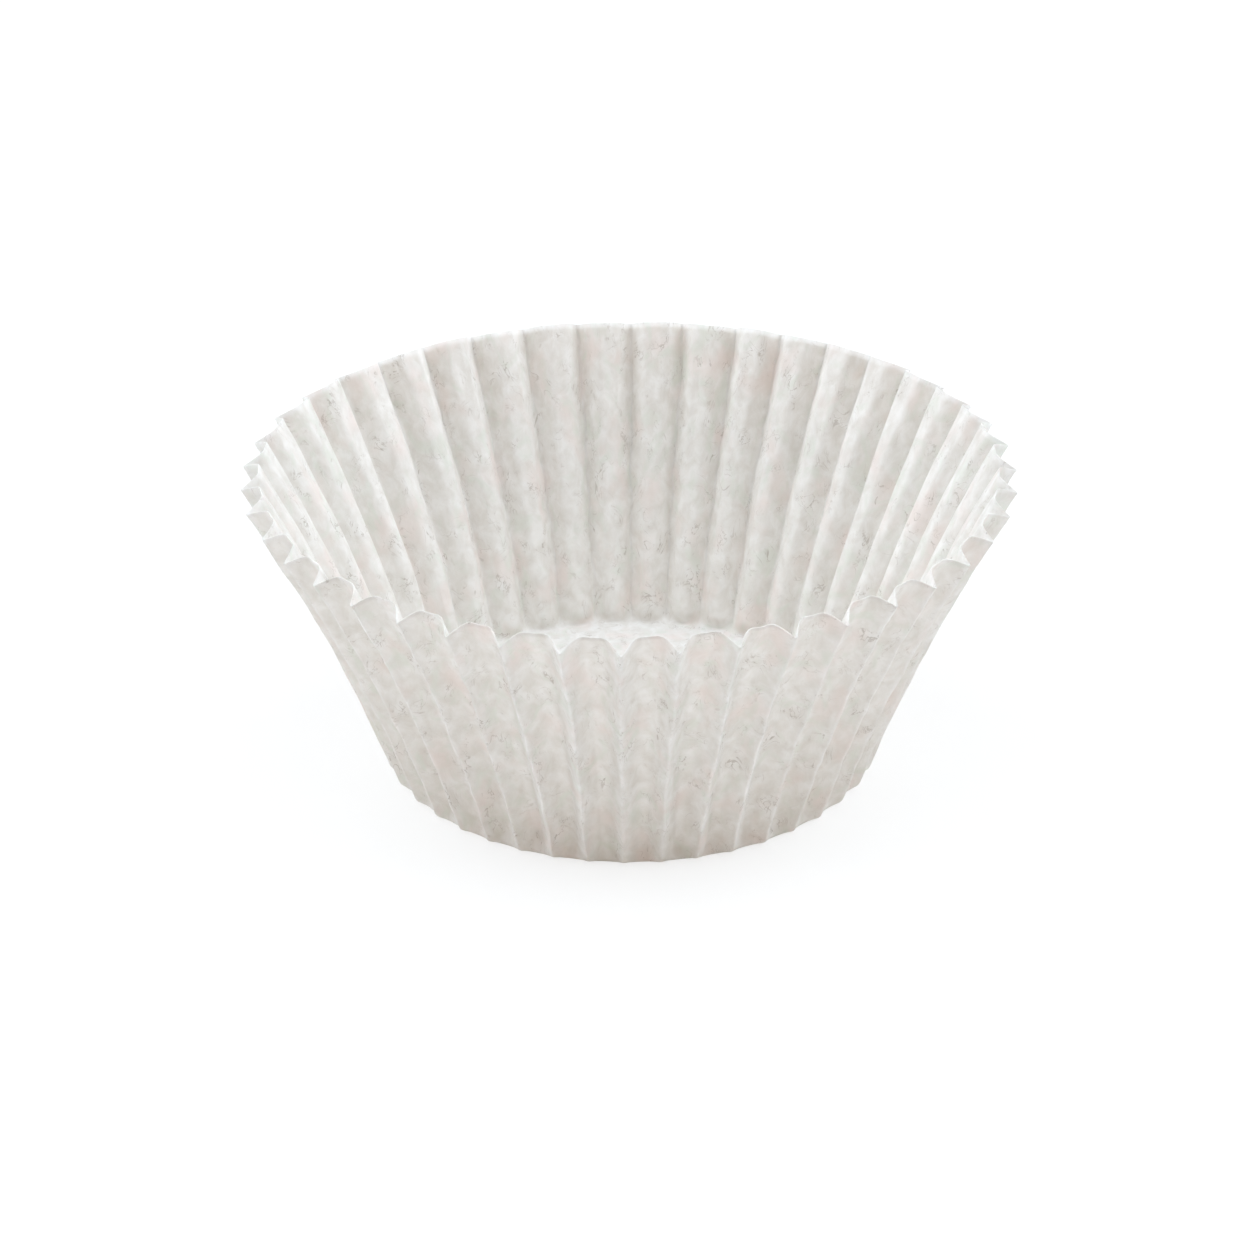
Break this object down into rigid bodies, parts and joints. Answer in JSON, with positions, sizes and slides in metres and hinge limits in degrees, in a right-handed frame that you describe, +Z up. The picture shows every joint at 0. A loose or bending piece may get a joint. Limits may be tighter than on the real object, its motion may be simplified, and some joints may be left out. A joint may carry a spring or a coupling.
{
  "type": "paper baking cup",
  "caption": "Round pleated paper baking cup with a flat base, a tight corner and a flared fluted wall, open at the top, that holds batter or a bun while it bakes.",
  "frame": {"origin": "middle of the base's underside, on the surface that the cup stands on", "axes": "+Z up through the open mouth, -Y towards the front of the picture, +X to the right"},
  "size_m": [0.076, 0.076, 0.0315],
  "materials": {
    "paper": "matt white greaseproof paper with cloudy fibres, thin enough to let light through"
  },
  "bodies": {
    "root": {"baking_cup": "paper"}
  },
  "joints": []
}
